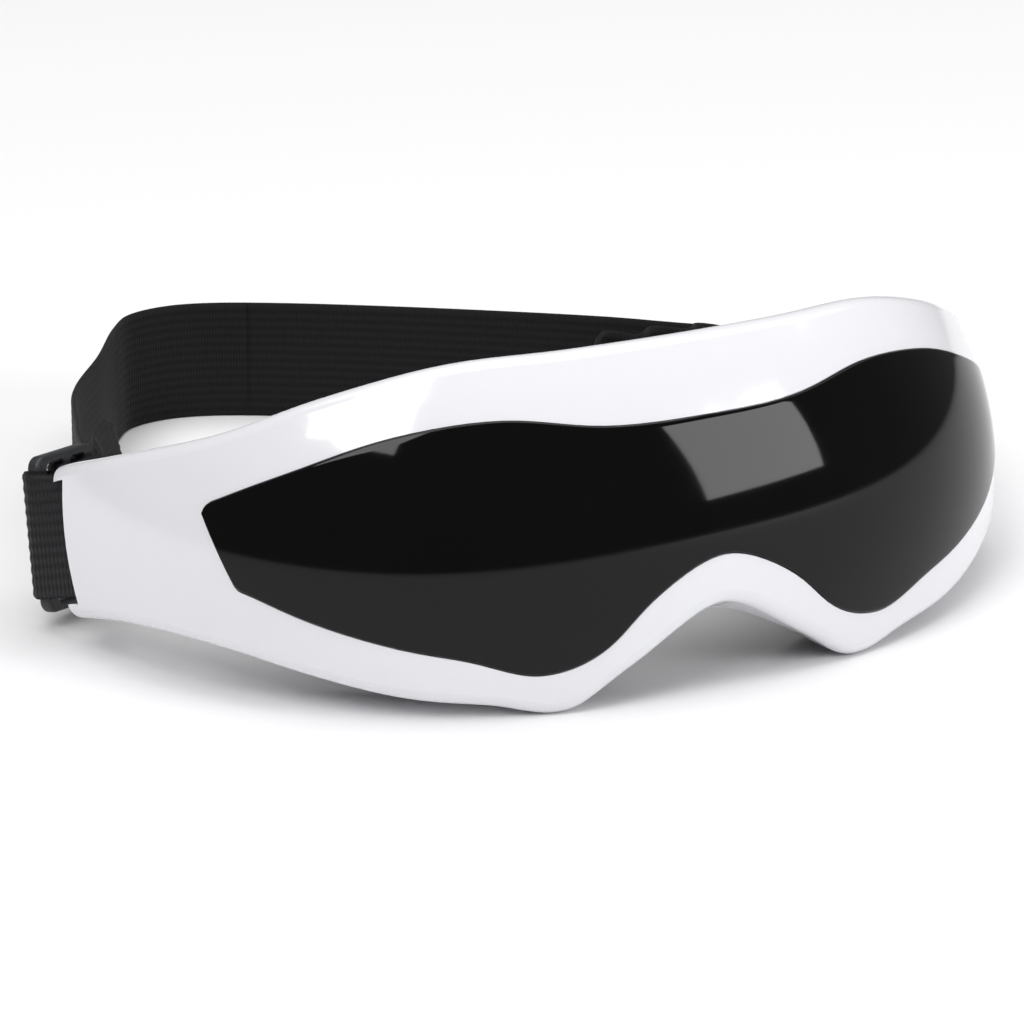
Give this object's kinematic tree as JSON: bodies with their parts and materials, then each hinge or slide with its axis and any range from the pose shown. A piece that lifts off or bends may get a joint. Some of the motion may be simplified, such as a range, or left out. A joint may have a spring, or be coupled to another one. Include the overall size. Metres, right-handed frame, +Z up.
{
  "type": "eye massager mask",
  "caption": "Wrap-around eye massager mask with a gloss visor, soft face pad, sprung massage plates and an adjustable head strap on buckles.",
  "frame": {"origin": "centre of the footprint, on the table the mask and strap rest on", "axes": "+Z up, -Y the way the visor faces, +X the wearer's left"},
  "size_m": [0.193, 0.1904, 0.0628],
  "materials": {
    "white_shell": "gloss",
    "black_visor": "mirror gloss",
    "grey_shell": "satin",
    "soft_pad": "soft matt",
    "steel": "satin",
    "battery_wrap": "foil",
    "lead_wire": "satin",
    "circuit_board": "satin",
    "chip_plastic": "matt",
    "switch_metal": "satin",
    "led_body": "matt",
    "clear_pipe": "frosted",
    "strap_webbing": "woven",
    "buckle_plastic": "fine matt",
    "brass": "satin"
  },
  "bodies": {
    "mask_body": {"battery": "battery_wrap", "battery_leads": "lead_wire", "board_screws": "steel", "casing_screws": "steel", "charge_jack": "chip_plastic", "charging_chip": "chip_plastic", "control_board": "circuit_board", "face_pad": "soft_pad", "front_shell": "white_shell", "head_strap": "strap_webbing", "jack_leads": "lead_wire", "left_motor_leads": "lead_wire", "left_plate_retainer": "grey_shell", "left_plate_springs": "steel", "left_retainer_screws": "steel", "left_strap_pin": "steel", "light_pipe": "clear_pipe", "main_chip": "chip_plastic", "power_switch": "switch_metal", "rear_shell": "grey_shell", "right_motor_leads": "lead_wire", "right_plate_retainer": "grey_shell", "right_plate_springs": "steel", "right_retainer_screws": "steel", "right_strap_pin": "steel", "status_led": "led_body", "visor": "black_visor"},
    "left_plate_body": {"left_massage_plate": "grey_shell", "left_massage_nubs": "soft_pad", "left_motor": "steel", "left_motor_holder": "soft_pad"},
    "right_plate_body": {"right_massage_plate": "grey_shell", "right_massage_nubs": "soft_pad", "right_motor": "steel", "right_motor_holder": "soft_pad"},
    "left_rotor": {"left_motor_shaft": "steel", "left_eccentric_weight": "brass"},
    "right_rotor": {"right_motor_shaft": "steel", "right_eccentric_weight": "brass"},
    "left_strap_end": {"left_anchor_webbing": "strap_webbing", "left_buckle": "buckle_plastic"},
    "right_strap_end": {"right_anchor_webbing": "strap_webbing", "right_buckle": "buckle_plastic"},
    "button_body": {"power_button": "black_visor"}
  },
  "joints": [
    {"name": "left_plate_press", "type": "slide", "parent": "mask_body", "child": "left_plate_body", "axis": [0.2577, -0.8617, 0.4372], "range_m": [0, 0.0015], "stiffness_N_per_m": 900, "springref_m": -0.0004, "deforming": ["left_plate_springs", "left_motor_leads"]},
    {"name": "left_motor_spin", "type": "hinge", "parent": "left_plate_body", "child": "left_rotor", "pos_m": [0.03041, -0.07837, 0.03159], "axis": [0, 0.4524, 0.8918], "continuous": true},
    {"name": "right_plate_press", "type": "slide", "parent": "mask_body", "child": "right_plate_body", "axis": [-0.2577, -0.8617, 0.4372], "range_m": [0, 0.0015], "stiffness_N_per_m": 900, "springref_m": -0.0004, "deforming": ["right_plate_springs", "right_motor_leads"]},
    {"name": "right_motor_spin", "type": "hinge", "parent": "right_plate_body", "child": "right_rotor", "pos_m": [-0.03041, -0.07837, 0.03159], "axis": [0, 0.4524, 0.8918], "continuous": true},
    {"name": "power_button_press", "type": "slide", "parent": "mask_body", "child": "button_body", "axis": [0, -0.4524, -0.8918], "range_m": [0, 0.0006], "stiffness_N_per_m": 500, "springref_m": -0.0004},
    {"name": "left_buckle_swing", "type": "hinge", "parent": "mask_body", "child": "left_strap_end", "pos_m": [0.08711, -0.01564, 0.01995], "axis": [-0.1022, 0.4629, 0.8805], "range_deg": [-6, 14], "deforming": ["head_strap"]},
    {"name": "right_buckle_swing", "type": "hinge", "parent": "mask_body", "child": "right_strap_end", "pos_m": [-0.08711, -0.01564, 0.01995], "axis": [-0.1022, -0.4629, -0.8805], "range_deg": [-6, 14], "deforming": ["head_strap"]}
  ]
}
